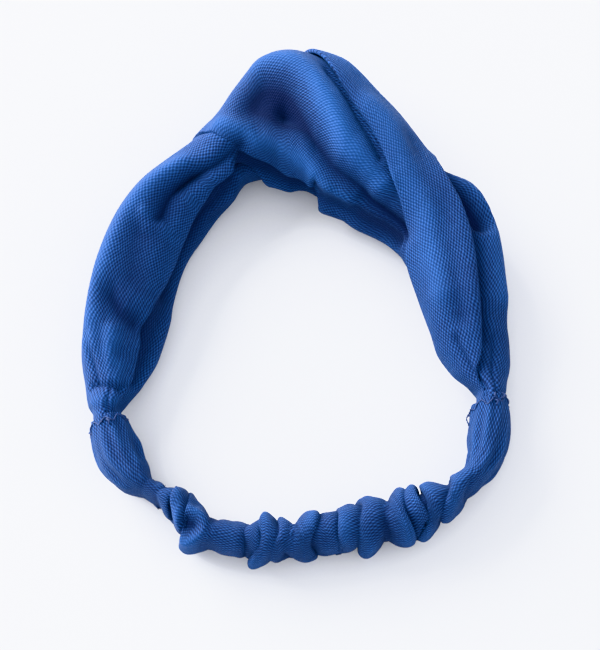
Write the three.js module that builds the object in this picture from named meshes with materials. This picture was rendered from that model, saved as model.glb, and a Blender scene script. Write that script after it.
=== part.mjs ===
// A twist-front sports headband, lying on its lower edge as on a table.
// Two flat fabric strips cross the forehead, wound once round each other. Their pleated ends
// go into the mouths of a gathered fabric casing, which holds the elastic band at the back.
// Millimetres, +Z up, +Y towards the twist, origin on the table under the middle of the headband.
import * as THREE from "three";

// ---- sizes

const RING_HALF_WIDTH = 75; // middle of the headband to the centre line at its sides
const RING_HALF_DEPTH = 87.5; // middle of the headband to the centre line at front and back
const TWIST_HALF_WIDTH = 21; // the wound strips at the crossing, across the ring
const TWIST_HALF_HEIGHT = 21;
const SIDE_HALF_WIDTH = 16; // the nested strips along the sides
const SIDE_HALF_HEIGHT = 16.5;
const STRIP_THICKNESS = 2.4; // folded jersey, doubled
const PLEAT_THICKNESS = 1.6; // the same strip pressed flat by the casing's mouth
const LAP_GAP = 1.6; // air between a strip and the one it laps over
const SETTLE = 0.6; // how far the soft underside flattens on the table
const TWIST_LEAN = 0.35; // the crossing leans outwards, across per height

const ELASTIC_WIDTH = 18;
const ELASTIC_THICKNESS = 1.2;
const CASING_WALL = 1.2;
const RUFFLE_HALF_WIDTH = 7.8; // the gathered stretch, at the mean of its ruffles
const RUFFLE_RISE = 1.3;
const RUFFLE_COUNT = 11;
const NECK_HALF_WIDTH = 4.4; // where the gathers start, next to each smooth end
const END_HALF_WIDTH = 7.9; // the smooth end between mouth and neck
const END_LENGTH = 28; // mouth to neck
const INSERT = 8; // how far the strips reach into the casing

const EASE = 0.8; // clearance of one fabric sleeve round another
const FIT = 0.5; // clearance between a thread and the fabric it holds
const THREAD_RADIUS = 0.4;
const THREAD_SIDES = 5;
const STITCH_SETBACK = 3.5; // the row of top-stitching, from the casing's edge
const STITCH_SWING = 1.2; // how far its zigzag swings to each side
const STITCH_COUNT = 16;
const TACK_COUNT = 6;
const TACK_MARGIN = 3; // from the elastic's edges to the ends of the tack
const SEAM_INSET = 12; // from each joint to the ends of the casing's seam
const ELASTIC_INSET = 1; // from each joint to the elastic's ends

// How finely the curved pieces are divided.
const SIDE_ROWS = 12; // along each side of a strip
const WINDING_ROWS = 40; // along its wound middle
const STRIP_COLUMNS = 10; // across it
const CASING_ROWS = 64;
const CASING_COLUMNS = 14; // flat facets round the casing, one of them lying on the table
const ELASTIC_ROWS = 40;
const RING_STEPS = 60; // for each stretch between two points of the centre line

// The ring's centre line seen from above, clockwise from the left joint, as shares of the
// half width and half depth. The front half has the twist and the back half the elastic.
const FRONT_POINTS = [
  [-0.98, -0.42],
  [-0.94, -0.01],
  [-0.76, 0.45],
  [-0.4, 0.82],
  [0.06, 1.0],
  [0.51, 0.8],
  [0.82, 0.39],
  [0.98, -0.09],
];
const BACK_POINTS = [
  [1.02, -0.35],
  [0.96, -0.62],
  [0.71, -0.82],
  [0.21, -0.95],
  [-0.17, -1.0],
  [-0.63, -0.85],
  [-0.92, -0.66],
];

// ---- helpers

const degrees = Math.PI / 180;
// 0 before from and 1 past to, with an even start and stop. from may be the larger of the two.
function smooth(from, to, x) {
  const t = THREE.MathUtils.clamp((x - from) / (to - from), 0, 1);
  return t * t * (3 - 2 * t);
}

// A smooth curve through [share, value] pairs that never overshoots them, and is flat beyond
// the first and the last.
function along(pairs) {
  const last = pairs.length - 1;
  const rise = pairs.slice(1).map(([share, value], i) => (value - pairs[i][1]) / (share - pairs[i][0]));
  const slope = pairs.map((_, i) => {
    const [before, after] = [rise[i - 1] ?? 0, rise[i] ?? 0];
    return before * after > 0 ? (2 * before * after) / (before + after) : 0;
  });
  return (share) => {
    if (share <= pairs[0][0]) return pairs[0][1];
    if (share >= pairs[last][0]) return pairs[last][1];
    const i = pairs.findIndex((pair) => pair[0] > share) - 1;
    const span = pairs[i + 1][0] - pairs[i][0];
    const t = (share - pairs[i][0]) / span;
    const u = 1 - t;
    const values = u * u * (1 + 2 * t) * pairs[i][1] + t * t * (1 + 2 * u) * pairs[i + 1][1];
    return values + t * u * span * (u * slope[i] - t * slope[i + 1]);
  };
}

// A closed solid from two sheets of points, [row][column], that lie face to face.
// wrapped sheets join their last column to their first, as the two walls of a tube do.
function shell(outer, inner, wrapped) {
  const rows = outer.length;
  const columns = outer[0].length;
  const points = [...outer.flat(), ...inner.flat()];
  const faces = [];
  const quad = (a, b, c, d) => faces.push(a, c, b, a, d, c);
  const at = (side, row, column) => side * rows * columns + row * columns + (column % columns);
  for (let row = 0; row < rows - 1; row++) {
    for (let column = 0; column < (wrapped ? columns : columns - 1); column++) {
      quad(at(0, row, column), at(0, row + 1, column), at(0, row + 1, column + 1), at(0, row, column + 1));
      quad(at(1, row, column), at(1, row, column + 1), at(1, row + 1, column + 1), at(1, row + 1, column));
    }
  }
  for (let column = 0; column < (wrapped ? columns : columns - 1); column++) {
    quad(at(0, 0, column), at(0, 0, column + 1), at(1, 0, column + 1), at(1, 0, column));
    const end = rows - 1;
    quad(at(0, end, column + 1), at(0, end, column), at(1, end, column), at(1, end, column + 1));
  }
  for (let row = 0; !wrapped && row < rows - 1; row++) {
    const side = columns - 1;
    quad(at(0, row + 1, 0), at(0, row, 0), at(1, row, 0), at(1, row + 1, 0));
    quad(at(0, row, side), at(0, row + 1, side), at(1, row + 1, side), at(1, row, side));
  }
  const geometry = new THREE.BufferGeometry().setFromPoints(points);
  geometry.setIndex(faces);
  geometry.computeVertexNormals();
  return geometry;
}

// A length of thread through the points.
function threadAlong(points, steps) {
  const section = new THREE.Shape();
  for (let side = 0; side < THREAD_SIDES; side++) {
    const angle = (side / THREAD_SIDES) * 2 * Math.PI;
    const [x, y] = [THREAD_RADIUS * Math.cos(angle), THREAD_RADIUS * Math.sin(angle)];
    if (side === 0) section.moveTo(x, y);
    else section.lineTo(x, y);
  }
  const path = new THREE.CatmullRomCurve3(points);
  return new THREE.ExtrudeGeometry(section, { steps, extrudePath: path, bevelEnabled: false });
}

const spread = (count, from, to) =>
  Array.from({ length: count + 1 }, (_, i) => THREE.MathUtils.lerp(from, to, i / count));

// ---- the ring

const ring = new THREE.CatmullRomCurve3(
  [...FRONT_POINTS, ...BACK_POINTS].map(
    ([across, deep]) => new THREE.Vector3(across * RING_HALF_WIDTH, deep * RING_HALF_DEPTH, 0),
  ),
  true,
);
ring.arcLengthDivisions = (FRONT_POINTS.length + BACK_POINTS.length) * RING_STEPS;
const RING_LENGTH = ring.getLength();
const FRONT_LENGTH = ring.getLengths()[FRONT_POINTS.length * RING_STEPS];
const BACK_LENGTH = RING_LENGTH - FRONT_LENGTH;

// A point of the ring's cross section at a distance from the left joint along the front.
function sectionPoint(distance, outwards, height) {
  const share = THREE.MathUtils.euclideanModulo(distance / RING_LENGTH, 1);
  const forward = ring.getTangentAt(share);
  const point = ring.getPointAt(share);
  point.x += forward.y * -outwards;
  point.y += forward.x * outwards;
  point.z = height;
  return point;
}

// ---- sizes of the joint, from the elastic outwards

const pleatHalfHeight = ELASTIC_WIDTH / 2 + EASE + PLEAT_THICKNESS / 2;
const pleatHalfWidth = ELASTIC_THICKNESS / 2 + 4 * THREAD_RADIUS + 3 * FIT + PLEAT_THICKNESS / 2;
const hollowHalfHeight = pleatHalfHeight + PLEAT_THICKNESS / 2 + EASE;
const hollowHalfWidth = pleatHalfWidth + PLEAT_THICKNESS / 2 + EASE;
const casingHalfHeight = hollowHalfHeight + CASING_WALL;
const casingMiddle = casingHalfHeight * Math.cos(Math.PI / CASING_COLUMNS);

// ---- the two strips

const thickness = along([
  [0, PLEAT_THICKNESS],
  [0.12, STRIP_THICKNESS],
  [0.88, STRIP_THICKNESS],
  [1, PLEAT_THICKNESS],
]);
const halfWidth = along([
  [0, pleatHalfWidth],
  [0.16, SIDE_HALF_WIDTH],
  [0.3, SIDE_HALF_WIDTH],
  [0.5, TWIST_HALF_WIDTH],
  [0.72, SIDE_HALF_WIDTH],
  [0.86, SIDE_HALF_WIDTH],
  [1, pleatHalfWidth],
]);
const halfHeight = along([
  [0, pleatHalfHeight],
  [0.18, SIDE_HALF_HEIGHT],
  [0.3, SIDE_HALF_HEIGHT],
  [0.5, TWIST_HALF_HEIGHT],
  [0.72, SIDE_HALF_HEIGHT],
  [0.84, SIDE_HALF_HEIGHT],
  [1, pleatHalfHeight],
]);
const lean = along([
  [0.15, 0],
  [0.45, TWIST_LEAN],
  [0.6, TWIST_LEAN],
  [0.85, 0],
]);
const lift = along([
  [0, casingMiddle - pleatHalfHeight],
  [0.1, STRIP_THICKNESS / 2 - SETTLE],
  [0.9, STRIP_THICKNESS / 2 - SETTLE],
  [1, casingMiddle - pleatHalfHeight],
]);

// Which way the middle of strip A faces, in degrees: 0 outwards, 90 up, 180 to the head.
// Strip B always faces the other way.
const facing = along([
  [0, 0],
  [0.14, 52],
  [0.29, 72],
  [0.35, 115],
  [0.6, 385],
  [0.67, 445],
  [0.77, 505],
  [0.88, 545],
  [1, 540],
]);

// How far one strip laps over the other, along each of the two edges where they meet: 1 is
// strip A over strip B at A's leading edge, and strip B over strip A at A's trailing edge.
const leadingLap = along([
  [0.03, 0],
  [0.14, 1],
  [0.86, 1],
  [0.97, 0],
]);
const trailingLap = along([
  [0.24, 0],
  [0.36, 1],
  [0.6, 1],
  [0.69, 0],
  [0.78, -1],
  [0.86, -1],
  [0.97, 0],
]);
const PART_ANGLE = 4; // where no strip laps over the other, each stops short by this
const LAP_ANGLE = 14; // and where one does, each reaches past by this
const lapReach = (lap) => THREE.MathUtils.lerp(-PART_ANGLE, LAP_ANGLE, smooth(0.85, 1, Math.abs(lap)));

// A point of a strip: across runs 0 to 1 from its trailing to its leading edge, and out is
// how far the point stands off the strip's middle surface, away from the heart of the winding.
function stripPoint(strip, distance, across, out) {
  const share = distance / FRONT_LENGTH;
  const [lead, trail] = [leadingLap(share), trailingLap(share)];
  const reach = strip === "a" ? [lapReach(trail), lapReach(lead)] : [lapReach(lead), lapReach(trail)];
  const tucked = strip === "a" ? [Math.max(trail, 0), 0] : [lead, Math.max(-trail, 0)];
  const turn = facing(share) + (strip === "a" ? 0 : 180);
  const angle = (turn + THREE.MathUtils.lerp(-90 - reach[0], 90 + reach[1], across)) * degrees;
  const depth = tucked[0] * smooth(0.5, 0, across) + tucked[1] * smooth(0.5, 1, across);
  const tuck = depth * (STRIP_THICKNESS + LAP_GAP);
  const middle = halfHeight(share) + lift(share);
  const [wide, high] = [halfWidth(share), halfHeight(share)];
  const rim = new THREE.Vector2(wide * Math.cos(angle), high * Math.sin(angle));
  const normal = new THREE.Vector2(high * Math.cos(angle), wide * Math.sin(angle)).normalize();
  rim.addScaledVector(normal, out - tuck);
  const floor = thickness(share) / 2 - out;
  const height = Math.max(middle + rim.y, floor);
  return sectionPoint(distance, rim.x + lean(share) * rim.y, height);
}

// The places of the rows of points along a strip, closer together where it winds.
function stripRows(inset) {
  const windingStart = 0.27 * FRONT_LENGTH;
  const windingEnd = 0.72 * FRONT_LENGTH;
  return [
    ...spread(SIDE_ROWS, inset - INSERT, windingStart),
    ...spread(WINDING_ROWS, windingStart, windingEnd).slice(1, -1),
    ...spread(SIDE_ROWS, windingEnd, FRONT_LENGTH + INSERT - inset),
  ];
}

function stripSolid(strip) {
  const face = (side) =>
    stripRows(0).map((distance) => {
      const half = thickness(distance / FRONT_LENGTH) / 2;
      return spread(STRIP_COLUMNS, 0, 1).map((across) => stripPoint(strip, distance, across, side * half));
    });
  return shell(face(1), face(-1), false);
}

// The strip is a tube of jersey turned right side out, so its seam lies along the hidden face.
function stripSeam(strip) {
  const rows = stripRows(1);
  const points = rows.map((distance) => {
    const half = thickness(distance / FRONT_LENGTH) / 2;
    return stripPoint(strip, distance, 0.5, -half - EASE - THREAD_RADIUS);
  });
  return threadAlong(points, rows.length);
}

// ---- the casing and its elastic

const casingHalfWidth = (distance) => {
  const fromMouth = Math.min(distance, BACK_LENGTH - distance);
  const mouth = hollowHalfWidth + CASING_WALL;
  const bulge = THREE.MathUtils.lerp(mouth, END_HALF_WIDTH, smooth(0, END_LENGTH / 2, fromMouth));
  const neck = THREE.MathUtils.lerp(bulge, NECK_HALF_WIDTH, smooth(END_LENGTH / 2, END_LENGTH, fromMouth));
  const gathered = smooth(END_LENGTH, END_LENGTH + 10, fromMouth);
  const share = (distance - END_LENGTH) / (BACK_LENGTH - 2 * END_LENGTH);
  const ruffle = RUFFLE_HALF_WIDTH - RUFFLE_RISE * Math.cos(share * RUFFLE_COUNT * 2 * Math.PI);
  return THREE.MathUtils.lerp(neck, ruffle, gathered);
};

// A point of the casing's outer face, or of one a little off it, at a distance from the right
// joint. The angle is 0 outwards, 90 up, 180 to the head.
function casingPoint(distance, angle, off) {
  const across = (casingHalfWidth(distance) + off) * Math.cos(angle * degrees);
  const height = (casingHalfHeight + off) * Math.sin(angle * degrees);
  return sectionPoint(FRONT_LENGTH + distance, across, casingMiddle + height);
}

function casingSolid() {
  const wall = (off) =>
    spread(CASING_ROWS, 0, BACK_LENGTH).map((distance) =>
      spread(CASING_COLUMNS, -90, 270)
        .slice(1)
        .map((angle) => casingPoint(distance, angle - 180 / CASING_COLUMNS, off)),
    );
  return shell(wall(0), wall(-CASING_WALL), true);
}

function elasticSolid() {
  const face = (side) =>
    spread(ELASTIC_ROWS, ELASTIC_INSET, BACK_LENGTH - ELASTIC_INSET).map((distance) =>
      [-1, 1].map((up) =>
        sectionPoint(
          FRONT_LENGTH + distance,
          (side * ELASTIC_THICKNESS) / 2,
          casingMiddle + (up * ELASTIC_WIDTH) / 2,
        ),
      ),
    );
  return shell(face(1), face(-1), false);
}

// The casing is also a turned tube. Its seam lies inside, against the elastic's inner face.
function casingSeam() {
  const across = -(ELASTIC_THICKNESS / 2 + FIT + THREAD_RADIUS);
  const points = spread(ELASTIC_ROWS, SEAM_INSET, BACK_LENGTH - SEAM_INSET).map((distance) =>
    sectionPoint(FRONT_LENGTH + distance, across, casingMiddle),
  );
  return threadAlong(points, ELASTIC_ROWS);
}

// ---- the stitching at each joint

// From a distance measured into the casing at either joint to one measured from the right joint.
const fromJoint = (side, inward) => (side === "right" ? inward : BACK_LENGTH - inward);

// The zigzag that closes the casing's mouth over the strips, from one flank over the top.
function jointStitching(side) {
  const points = spread(STITCH_COUNT, -40, 220).map((angle, i) => {
    const swing = i % 2 ? STITCH_SWING : -STITCH_SWING;
    return casingPoint(fromJoint(side, STITCH_SETBACK + swing), angle, FIT + THREAD_RADIUS);
  });
  return threadAlong(points, 3 * STITCH_COUNT);
}

// The zigzag that tacks the elastic's end between the strips.
function elasticTack(side) {
  const across = ELASTIC_THICKNESS / 2 + FIT + THREAD_RADIUS;
  const rise = ELASTIC_WIDTH / 2 - TACK_MARGIN;
  const points = spread(TACK_COUNT, -rise, rise).map((height, i) => {
    const inward = i % 2 ? INSERT - 1 : ELASTIC_INSET + 1;
    return sectionPoint(FRONT_LENGTH + fromJoint(side, inward), across, casingMiddle + height);
  });
  return threadAlong(points, 4 * TACK_COUNT);
}

// ---- materials and the assembled headband

const cloth = { color: 0x1450b8, roughness: 0.85, metalness: 0 };
const sewing = { color: 0x123f93, roughness: 0.7, metalness: 0 };
const webbing = { color: 0xe8e8e4, roughness: 0.8, metalness: 0 };

const headband = new THREE.Group();

function add(name, geometry, look) {
  const mesh = new THREE.Mesh(geometry, new THREE.MeshStandardMaterial(look));
  mesh.name = name;
  headband.add(mesh);
}

for (const strip of ["a", "b"]) {
  add(`twist_strip_${strip}`, stripSolid(strip), cloth);
  add(`strip_${strip}_seam_thread`, stripSeam(strip), sewing);
}
add("elastic_casing", casingSolid(), cloth);
add("elastic_band", elasticSolid(), webbing);
add("casing_seam_thread", casingSeam(), sewing);
for (const side of ["left", "right"]) {
  add(`joint_stitching_${side}`, jointStitching(side), sewing);
  add(`elastic_tack_${side}`, elasticTack(side), sewing);
}

// The origin goes under the middle of the whole headband.
const middle = new THREE.Box3().setFromObject(headband).getCenter(new THREE.Vector3());
headband.position.set(-middle.x, -middle.y, 0);

export default headband;
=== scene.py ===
# %% [markdown]
# # A twist-front sports headband
# Two wide strips of bird's-eye jersey cross over the forehead, each wound once round the other.
# Their pleated ends are sewn into a gathered casing that hides an elastic band at the back.
# This notebook builds the cloth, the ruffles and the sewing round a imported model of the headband.
# Lengths are written in millimetres, as on a sewing pattern, and turned into metres at the end.

# %% Open the frame
import math
import bmesh
import bpy
import numpy as np
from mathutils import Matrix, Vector


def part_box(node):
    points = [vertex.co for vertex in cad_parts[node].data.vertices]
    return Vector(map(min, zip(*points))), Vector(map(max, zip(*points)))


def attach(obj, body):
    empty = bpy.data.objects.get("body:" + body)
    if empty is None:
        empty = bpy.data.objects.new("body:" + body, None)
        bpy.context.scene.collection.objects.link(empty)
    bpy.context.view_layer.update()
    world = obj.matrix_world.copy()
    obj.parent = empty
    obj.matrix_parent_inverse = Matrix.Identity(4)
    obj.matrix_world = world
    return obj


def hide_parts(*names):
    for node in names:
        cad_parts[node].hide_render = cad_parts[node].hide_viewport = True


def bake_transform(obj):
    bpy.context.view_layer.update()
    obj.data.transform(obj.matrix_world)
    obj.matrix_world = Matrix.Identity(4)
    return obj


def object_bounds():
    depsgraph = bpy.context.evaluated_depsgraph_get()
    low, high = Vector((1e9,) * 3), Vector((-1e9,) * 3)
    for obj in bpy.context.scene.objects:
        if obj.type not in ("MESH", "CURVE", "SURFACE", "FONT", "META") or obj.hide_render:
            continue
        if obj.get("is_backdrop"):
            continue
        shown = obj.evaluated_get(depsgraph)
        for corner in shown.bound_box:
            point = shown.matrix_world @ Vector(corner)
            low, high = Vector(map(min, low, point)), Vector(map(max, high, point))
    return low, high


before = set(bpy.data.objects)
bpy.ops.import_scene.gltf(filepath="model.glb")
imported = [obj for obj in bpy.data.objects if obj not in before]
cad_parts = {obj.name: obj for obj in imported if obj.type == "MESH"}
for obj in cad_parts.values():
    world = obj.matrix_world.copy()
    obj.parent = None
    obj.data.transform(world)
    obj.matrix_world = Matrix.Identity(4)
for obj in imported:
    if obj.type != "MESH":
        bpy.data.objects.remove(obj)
cad_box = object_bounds()


def in_mm(box):
    return [[round(value * 1000, 1) for value in corner] for corner in box]


print("model box in mm", in_mm(cad_box))

# %% [markdown]
# ## The line that everything follows
# Seen from above, the headband is a closed ring. Every piece of cloth is laid out along it:
# how far along, how far outwards from it, and how high above the table.
# A spline through a few chosen points draws the ring. They are shares of its half width and
# half depth, so the ring can be resized without drawing it again.

# %% The ring's centre line
HALF_WIDTH = 75
HALF_DEPTH = 87.5
FRONT_POINTS = [
    (-0.98, -0.42), (-0.94, -0.01), (-0.76, 0.45), (-0.4, 0.82),
    (0.06, 1.0), (0.51, 0.8), (0.82, 0.39), (0.98, -0.09),
]
BACK_POINTS = [
    (1.02, -0.35), (0.96, -0.62), (0.71, -0.82), (0.21, -0.95),
    (-0.17, -1.0), (-0.63, -0.85), (-0.92, -0.66),
]
STEPS = 80


def centripetal(p0, p1, p2, p3, t):
    """Points of a Catmull-Rom spline between p1 and p2, spaced so that it never loops."""
    d0, d1, d2 = (np.sqrt(np.linalg.norm(b - a)) for a, b in ((p0, p1), (p1, p2), (p2, p3)))
    m1 = ((p1 - p0) / d0 - (p2 - p0) / (d0 + d1) + (p2 - p1) / d1) * d1
    m2 = ((p2 - p1) / d1 - (p3 - p1) / (d1 + d2) + (p3 - p2) / d2) * d1
    t = t[:, None]
    return (
        (2 * t**3 - 3 * t**2 + 1) * p1 + (t**3 - 2 * t**2 + t) * m1
        + (3 * t**2 - 2 * t**3) * p2 + (t**3 - t**2) * m2
    )


corners = np.array(FRONT_POINTS + BACK_POINTS) * (HALF_WIDTH, HALF_DEPTH)
count = len(corners)
spans = np.linspace(0, 1, STEPS, endpoint=False)
ring = np.concatenate(
    [centripetal(*(corners[(i + k) % count] for k in (-1, 0, 1, 2)), spans) for i in range(count)]
)
elastic_low, elastic_high = (np.array(corner[:2]) * 1000 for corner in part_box("elastic_band"))
back_line = ring[len(FRONT_POINTS) * STEPS :]
ring += (elastic_low + elastic_high) / 2 - (back_line.min(0) + back_line.max(0)) / 2
ring = np.vstack([ring, ring[:1]])
travelled = np.concatenate([[0], np.cumsum(np.linalg.norm(np.diff(ring, axis=0), axis=1))])
RING_LENGTH = travelled[-1]
FRONT_LENGTH = travelled[len(FRONT_POINTS) * STEPS]
BACK_LENGTH = RING_LENGTH - FRONT_LENGTH
print(f"ring {RING_LENGTH:.0f} mm: front {FRONT_LENGTH:.0f}, back {BACK_LENGTH:.0f}")

# %% [markdown]
# ## Points beside the ring
# A place on a strip or on the casing is a distance along the ring, a step outwards and a height.
# Working with whole arrays of distances at once keeps this quick for tens of thousands of points.
# Outwards is square to the ring's direction over LOOK mm to each side. The strips reach far inside
# the ring at its tightest bend, so they take it over LOOK_FRONT mm and spread out more evenly.

# %% Points beside the ring
LOOK = 13
LOOK_FRONT = 45


def on_ring(distance):
    wrapped = np.mod(distance, RING_LENGTH)
    return np.stack([np.interp(wrapped, travelled, ring[:, axis]) for axis in (0, 1)], -1)


def beside(distance, outwards, height, look=LOOK):
    """Points in mm. The front runs clockwise seen from above, so outwards is to its left."""
    distance, outwards, height = np.broadcast_arrays(distance, outwards, height)
    forward = on_ring(distance + look) - on_ring(distance - look)
    forward /= np.linalg.norm(forward, axis=-1, keepdims=True)
    flat = on_ring(distance) + np.stack([-forward[..., 1], forward[..., 0]], -1) * outwards[..., None]
    return np.concatenate([flat, height[..., None]], -1)


def smooth(start, stop, x):
    """0 before start and 1 past stop, with an even start and finish."""
    t = np.clip((np.asarray(x, float) - start) / (stop - start), 0, 1)
    return t * t * (3 - 2 * t)


def along(*pairs):
    """A smooth curve through (share, value) pairs that never overshoots them."""
    x, y = (np.array(column, float) for column in zip(*pairs))
    rise = np.diff(y) / np.diff(x)
    before, after = np.append(0, rise), np.append(rise, 0)
    same_way = before * after > 0
    total = np.where(same_way, before + after, 1)
    slope = np.where(same_way, 2 * before * after / total, 0)

    def curve(share):
        share = np.clip(share, x[0], x[-1])
        i = np.clip(np.searchsorted(x, share, "right") - 1, 0, len(x) - 2)
        span = x[i + 1] - x[i]
        t = (share - x[i]) / span
        u = 1 - t
        value = u * u * (1 + 2 * t) * y[i] + t * t * (1 + 2 * u) * y[i + 1]
        return value + t * u * span * (u * slope[i] - t * slope[i + 1])

    return curve


print("middle of the twist", beside(FRONT_LENGTH / 2, 0, 0).round(1))

# %% [markdown]
# ## From points to a piece of cloth
# Every piece is a mesh made from rows of points. The weave could find its place through UV
# coordinates. Here each point keeps its place on the flat cloth in mm, as an attribute, so the
# weave has its real size and nothing has to be unwrapped. Cloth that would dip below the table
# is pressed flat against it.

# %% A mesh from points
MM = 0.001
FLOOR_GAP = 0.02


def add_mesh(name, points, faces, cloth, shade_relief=None):
    """A smooth piece from points in mm.

    cloth holds each point's place on the flat cloth, and relief how far a fold lifts it.
    The jersey paints the relief as shade in hollows and as a highlight on ridges.
    """
    points = np.array(points, float)
    points[:, 2] = np.maximum(points[:, 2], FLOOR_GAP)
    mesh = bpy.data.meshes.new(name)
    mesh.from_pydata((points * MM).tolist(), [], [list(face) for face in faces])
    attribute = mesh.attributes.new("cloth", "FLOAT_VECTOR", "POINT")
    flat = np.concatenate([cloth, np.zeros((len(cloth), 1))], 1)
    attribute.data.foreach_set("vector", flat.astype(np.float32).ravel())
    if shade_relief is not None:
        attribute = mesh.attributes.new("shade_relief", "FLOAT", "POINT")
        attribute.data.foreach_set("value", np.asarray(shade_relief, np.float32).ravel())
    shaper = bmesh.new()
    shaper.from_mesh(mesh)
    bmesh.ops.recalc_face_normals(shaper, faces=shaper.faces)
    shaper.to_mesh(mesh)
    shaper.free()
    mesh.shade_smooth()
    piece = bpy.data.objects.new(name, mesh)
    bpy.context.scene.collection.objects.link(piece)
    print(f"{name}: {len(points)} points, {len(faces)} faces")
    return piece


print("cloth stays", FLOOR_GAP, "mm clear of the table")

# %% [markdown]
# Rows of points become a surface once neighbours are joined by faces. A point's normal comes from
# its neighbours too, and says in which direction the cloth has its thickness.

# %% Faces and normals
def loop_faces(rows, columns):
    """Faces between rows of closed loops, each with its last point joined to its first."""
    row, column = np.meshgrid(np.arange(rows - 1), np.arange(columns), indexing="ij")
    beyond = (column + 1) % columns
    here, ahead = row * columns, (row + 1) * columns
    return np.stack([here + column, here + beyond, ahead + beyond, ahead + column], -1).reshape(-1, 4)


def grid_normals(points):
    normal = np.cross(np.gradient(points, axis=1), np.gradient(points, axis=0))
    return normal / np.maximum(np.linalg.norm(normal, axis=-1, keepdims=True), 1e-9)


print("two loops of four points are joined by", len(loop_faces(2, 4)), "faces")

# %% [markdown]
# ## A tube pressed flat
# Cloth is thin, but a real strip is a tube of jersey pressed flat, so its edges are round folds.
# A modifier such as Solidify could thicken a flat sheet. Here the two faces and the round edges
# are one closed loop of points for each row, which gives soft edges and an even thickness.

# %% A flattened tube
EDGE_STEPS = 5


def flat_tube(name, sheet, thickness, cloth, shade_relief=None):
    """A closed, flattened tube of cloth round the sheet, a grid of points [row, column]."""
    rows, columns = sheet.shape[:2]
    normal = grid_normals(sheet)
    half = np.broadcast_to(np.reshape(thickness, (-1, 1, 1)) / 2, (rows, columns, 1))

    def round_edge(column, inner):
        outwards = sheet[:, column] - sheet[:, inner]
        outwards /= np.maximum(np.linalg.norm(outwards, axis=-1, keepdims=True), 1e-9)
        turns = np.linspace(0, math.pi, EDGE_STEPS + 2)[1:-1]
        ways = [normal[:, column] * math.cos(t) + outwards * math.sin(t) for t in turns]
        return np.stack([sheet[:, column] + way * half[:, column] for way in ways], 1)

    front, back = sheet + normal * half, (sheet - normal * half)[:, ::-1]
    loop = np.concatenate([front, round_edge(-1, -2), back, round_edge(0, 1)[:, ::-1]], 1)
    turns = np.linspace(0, math.pi, EDGE_STEPS + 2)[1:-1]
    wrapped = half[:, :1] * (math.pi / 2 * np.sin(turns))[:, None] * (0, 1)
    edges = [cloth[:, -1:] + wrapped, cloth[:, :1] - wrapped]
    places = np.concatenate([cloth, edges[0], cloth[:, ::-1], edges[1]], 1)
    if shade_relief is not None:
        sides = [np.repeat(shade_relief[:, column], EDGE_STEPS, 1) for column in (slice(-1, None), slice(0, 1))]
        shade_relief = np.concatenate([shade_relief, sides[0], shade_relief[:, ::-1], sides[1]], 1)
    size = loop.shape[1]
    faces = loop_faces(rows, size).tolist()
    turn = columns + EDGE_STEPS
    for start in (0, (rows - 1) * size):
        opposite = [start + turn + columns - 1 - column for column in range(columns)]
        for column in range(columns - 1):
            faces.append([start + column, start + column + 1, opposite[column + 1], opposite[column]])
        faces.append([start + i for i in range(columns - 1, turn + 1)])
        faces.append([start + i for i in range(turn + columns - 1, size)] + [start])
    return add_mesh(name, loop.reshape(-1, 3), faces, places.reshape(-1, 2), shade_relief)


print("each round edge has", EDGE_STEPS, "points")

# %% [markdown]
# ## A tube with open mouths
# The casing is the other kind of tube. It stays open, because something lies in it, and its wall
# is one layer of cloth. The inner face is the outer one moved in by the wall, and a rim joins the
# two at each mouth, so the mesh is closed and has a real thickness at its edges.

# %% An open tube
def hollow_tube(name, outer, wall, cloth, shade_relief):
    """A tube of cloth with open mouths, from its outer face, a grid of closed loops."""
    rows, columns = outer.shape[:2]
    ring_of = np.concatenate([outer[:, -1:], outer, outer[:, :1]], 1)
    normal = grid_normals(ring_of)[:, 1:-1]
    middle = outer.mean(1, keepdims=True)
    if np.sum(normal * (outer - middle)) < 0:
        normal = -normal
    inner = outer - normal * wall
    faces = loop_faces(rows, columns)
    lining = faces[:, ::-1] + rows * columns
    rims = []
    for start in (0, (rows - 1) * columns):
        for column in range(columns):
            beyond = (column + 1) % columns
            rims.append([start + column, start + beyond, start + beyond + rows * columns,
                         start + column + rows * columns])
    points = np.concatenate([outer.reshape(-1, 3), inner.reshape(-1, 3)])
    places = np.concatenate([cloth.reshape(-1, 2)] * 2)
    return add_mesh(name, points, [*faces.tolist(), *lining.tolist(), *rims], places, [shade_relief, shade_relief])


# %% [markdown]
# ## The shape of the two strips
# At every place along the front, the two strips together are a soft rope with an oval section.
# Strip A covers one half of the oval and strip B the other. Turning the halves as we go along
# makes the twist, and at their meeting edges one strip laps over the other.
# Real cloth could be wound like this by a simulation, but a described shape is easier to steer.
# Each curve runs from 0, the left joint, to 1, the right one. wrap_line and cover_line are the
# angles, in degrees, of the two edges between the strips as they wind on.

# %% The rope that the strips make
STRIP_THICKNESS = 1.9
PLEAT_THICKNESS = 1.5
LAP_GAP = 1.9
INSERT = 8
END_HALF_WIDTH = 4.6
END_HALF_HEIGHT = 10.4
END_HEIGHT = 12.8

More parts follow.
